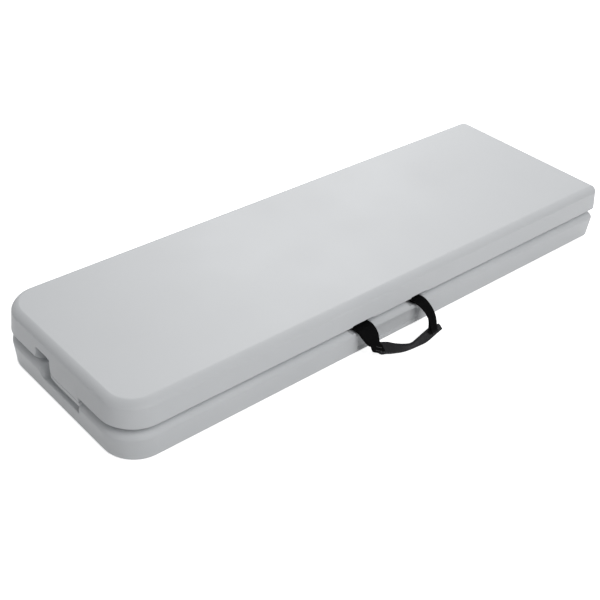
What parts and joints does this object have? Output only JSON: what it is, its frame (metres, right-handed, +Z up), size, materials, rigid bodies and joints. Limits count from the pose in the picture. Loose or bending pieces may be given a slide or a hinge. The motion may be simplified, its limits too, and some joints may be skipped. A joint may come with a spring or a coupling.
{
  "type": "folding bench",
  "caption": "Fold-in-half plastic bench shown closed like a case, with folding steel leg frames inside and a webbing carry handle at its front",
  "frame": {"origin": "centre of the lower seat face, which the closed bench lies on", "axes": "+X along the case towards the fold, +Y from the handle side to the rear, +Z up"},
  "size_m": [0.924, 0.3508, 0.09],
  "materials": {
    "panel_plastic": "smooth light grey, faint satin sheen",
    "frame_steel": "grey powder coat",
    "zinc_plated": "bright zinc plate",
    "foot_rubber": "moulded, matt",
    "clip_plastic": "moulded, matt",
    "webbing": "woven polypropylene webbing, black",
    "grip_webbing": "webbing folded lengthwise and stitched, charcoal"
  },
  "bodies": {
    "lower_half": {"lower_seat_panel": "panel_plastic", "front_fold_pin": "zinc_plated", "rear_fold_pin": "zinc_plated", "lower_front_side_rail": "frame_steel", "lower_front_hinge_lug": "frame_steel", "lower_front_saddle_clamp": "frame_steel", "lower_front_brace_bracket": "frame_steel", "lower_front_bracket_rivet": "zinc_plated", "lower_front_leg_clip": "clip_plastic", "lower_rear_side_rail": "frame_steel", "lower_rear_hinge_lug": "frame_steel", "lower_rear_saddle_clamp": "frame_steel", "lower_rear_brace_bracket": "frame_steel", "lower_rear_bracket_rivet": "zinc_plated", "lower_rear_leg_clip": "clip_plastic", "handle_tail_left": "webbing", "handle_tail_right": "webbing", "handle_retainer_left": "zinc_plated", "handle_retainer_right": "zinc_plated"},
    "upper_half": {"upper_seat_panel": "panel_plastic", "upper_front_side_rail": "frame_steel", "upper_front_hinge_lug": "frame_steel", "upper_front_saddle_clamp": "frame_steel", "upper_front_brace_bracket": "frame_steel", "upper_front_bracket_rivet": "zinc_plated", "upper_front_leg_clip": "clip_plastic", "upper_rear_side_rail": "frame_steel", "upper_rear_hinge_lug": "frame_steel", "upper_rear_saddle_clamp": "frame_steel", "upper_rear_brace_bracket": "frame_steel", "upper_rear_bracket_rivet": "zinc_plated", "upper_rear_leg_clip": "clip_plastic"},
    "lower_legs": {"lower_leg_tube": "frame_steel", "lower_leg_stretcher": "frame_steel", "lower_front_foot_cap": "foot_rubber", "lower_front_leg_rivet": "zinc_plated", "lower_rear_foot_cap": "foot_rubber", "lower_rear_leg_rivet": "zinc_plated"},
    "upper_legs": {"upper_leg_tube": "frame_steel", "upper_leg_stretcher": "frame_steel", "upper_front_foot_cap": "foot_rubber", "upper_front_leg_rivet": "zinc_plated", "upper_rear_foot_cap": "foot_rubber", "upper_rear_leg_rivet": "zinc_plated"},
    "lower_panel_links": {"lower_front_panel_link": "frame_steel", "lower_front_knee_rivet": "zinc_plated", "lower_rear_panel_link": "frame_steel", "lower_rear_knee_rivet": "zinc_plated"},
    "upper_panel_links": {"upper_front_panel_link": "frame_steel", "upper_front_knee_rivet": "zinc_plated", "upper_rear_panel_link": "frame_steel", "upper_rear_knee_rivet": "zinc_plated"},
    "lower_leg_links": {"lower_front_leg_link": "frame_steel", "lower_rear_leg_link": "frame_steel"},
    "upper_leg_links": {"upper_front_leg_link": "frame_steel", "upper_rear_leg_link": "frame_steel"},
    "handle": {"handle_strap_left": "webbing", "handle_grip": "grip_webbing", "handle_strap_right": "webbing"}
  },
  "joints": [
    {"name": "fold", "type": "hinge", "parent": "lower_half", "child": "upper_half", "pos_m": [0.458, 0, 0.045], "axis": [0, 1, 0], "range_deg": [0, 180]},
    {"name": "lower_leg_swing", "type": "hinge", "parent": "lower_half", "child": "lower_legs", "pos_m": [-0.372, 0, 0.0304], "axis": [0, -1, 0], "range_deg": [0, 93]},
    {"name": "lower_panel_link_swing", "type": "hinge", "parent": "lower_half", "child": "lower_panel_links", "pos_m": [-0.17217, 0, 0.0304], "axis": [0, 1, 0], "range_deg": [0, 39.1]},
    {"name": "lower_leg_link_swing", "type": "hinge", "parent": "lower_legs", "child": "lower_leg_links", "pos_m": [-0.20217, 0, 0.0304], "axis": [0, -1, 0], "range_deg": [0, 47.9]},
    {"name": "upper_leg_swing", "type": "hinge", "parent": "upper_half", "child": "upper_legs", "pos_m": [-0.372, 0, 0.0596], "axis": [0, 1, 0], "range_deg": [0, 93]},
    {"name": "upper_panel_link_swing", "type": "hinge", "parent": "upper_half", "child": "upper_panel_links", "pos_m": [-0.17217, 0, 0.0596], "axis": [0, -1, 0], "range_deg": [0, 39.1]},
    {"name": "upper_leg_link_swing", "type": "hinge", "parent": "upper_legs", "child": "upper_leg_links", "pos_m": [-0.20217, 0, 0.0596], "axis": [0, 1, 0], "range_deg": [0, 47.9]},
    {"name": "handle_swing", "type": "hinge", "parent": "lower_half", "child": "handle", "pos_m": [0, -0.15, 0.0414], "axis": [-1, 0, 0], "range_deg": [0, 100]}
  ],
  "couplings": [
    {"joint": "lower_leg_swing", "follows": "fold", "ratio": 0.51667},
    {"joint": "lower_panel_link_swing", "follows": "fold", "ratio": 0.2172},
    {"joint": "lower_leg_link_swing", "follows": "fold", "ratio": 0.26613},
    {"joint": "upper_leg_swing", "follows": "fold", "ratio": 0.51667},
    {"joint": "upper_panel_link_swing", "follows": "fold", "ratio": 0.2172},
    {"joint": "upper_leg_link_swing", "follows": "fold", "ratio": 0.26613}
  ]
}
